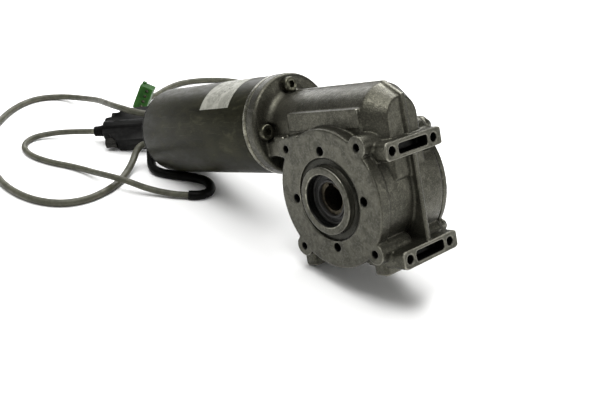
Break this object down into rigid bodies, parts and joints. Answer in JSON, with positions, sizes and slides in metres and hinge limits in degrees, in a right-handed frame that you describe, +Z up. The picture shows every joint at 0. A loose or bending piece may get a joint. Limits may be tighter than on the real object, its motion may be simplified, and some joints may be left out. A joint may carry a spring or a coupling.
{
  "type": "geared dc motor",
  "caption": "Permanent-magnet dc motor with a worm gearbox, hollow keyed output shaft, flange and foot mounts, and two cords with connectors.",
  "frame": {"origin": "middle of the hollow output shaft bore", "axes": "-Y out of the output flange, +Z up from the bench the drive lies on, motor towards -X with its axis leaned 19.4 degrees"},
  "size_m": [0.453, 0.2898, 0.1229],
  "materials": {
    "cast_aluminium": "rough die-cast, grey and mottled",
    "machined_aluminium": "turned, bright",
    "tube_steel": "dark olive grey, patchy",
    "bright_steel": "ground",
    "zinc_screw": "zinc plated, dull",
    "dark_screw": "blackened",
    "bronze": "machined bronze",
    "seal_rubber": "matt black",
    "gasket_fibre": "pressed fibre",
    "ferrite": "dark sintered",
    "lamination": "stacked sheet",
    "enamelled_copper": "varnished winding",
    "bare_copper": "turned copper",
    "carbon": "graphite",
    "spring_steel": "bright wire",
    "brass": "pressed",
    "laminate_board": "circuit board",
    "black_plastic": "moulded, matt",
    "encoder_plastic": "moulded",
    "green_plastic": "moulded terminal block green",
    "black_sleeve": "shrunk sleeve",
    "grey_cord": "grey PVC sheath",
    "core_wire": "thin insulated wires",
    "label_paper": "worn paper label"
  },
  "bodies": {
    "housing": {"brush_holders": "brass", "brush_plate": "laminate_board", "brush_springs": "spring_steel", "carbon_brushes": "carbon", "cover_gasket": "gasket_fibre", "cover_screws": "zinc_screw", "encoder_board": "laminate_board", "encoder_cord": "grey_cord", "encoder_cord_cores": "core_wire", "encoder_cord_gland": "seal_rubber", "field_magnets": "ferrite", "front_oil_seal": "seal_rubber", "front_wheel_bearing_outer": "bright_steel", "gear_housing": "cast_aluminium", "motor_flange_screws": "zinc_screw", "motor_front_bearing_outer": "bright_steel", "motor_front_shield": "machined_aluminium", "motor_rear_bearing_outer": "bright_steel", "motor_tube": "tube_steel", "plug_boot": "black_plastic", "plug_contacts": "brass", "plug_insert": "black_plastic", "plug_shell_lower": "black_plastic", "plug_shell_upper": "black_plastic", "plug_thumbscrews": "dark_screw", "power_cord": "grey_cord", "power_cord_gland": "seal_rubber", "power_cord_sleeve": "black_sleeve", "rating_label": "label_paper", "rear_bearing_shield": "machined_aluminium", "rear_cover": "cast_aluminium", "rear_end_cap": "black_plastic", "rear_oil_seal": "seal_rubber", "rear_wheel_bearing_outer": "bright_steel", "terminal_plug_body": "green_plastic", "terminal_plug_screws": "zinc_screw", "through_bolts": "zinc_screw", "worm_bearing_circlip": "spring_steel", "worm_drive_bearing_outer": "bright_steel", "worm_end_bearing_outer": "bright_steel"},
    "output": {"worm_wheel": "bronze", "hollow_output_shaft": "bright_steel", "wheel_key": "bright_steel", "output_shaft_circlips": "spring_steel", "front_wheel_bearing_inner": "bright_steel", "rear_wheel_bearing_inner": "bright_steel"},
    "rotor": {"worm": "bright_steel", "worm_drive_bearing_inner": "bright_steel", "worm_end_bearing_inner": "bright_steel", "rotor_shaft": "bright_steel", "armature_core": "lamination", "armature_windings": "enamelled_copper", "commutator": "bare_copper", "shaft_coupling_key": "bright_steel", "motor_front_bearing_inner": "bright_steel", "motor_rear_bearing_inner": "bright_steel", "encoder_disc": "encoder_plastic"}
  },
  "joints": [
    {"name": "output_spin", "type": "hinge", "parent": "housing", "child": "output", "pos_m": [0, 0, 0], "axis": [0, 1, 0], "continuous": true},
    {"name": "rotor_spin", "type": "hinge", "parent": "housing", "child": "rotor", "pos_m": [-0.01331, 0, 0.03772], "axis": [0.943, 0, 0.3327], "continuous": true}
  ],
  "couplings": [
    {"joint": "rotor_spin", "follows": "output_spin", "ratio": -40}
  ]
}
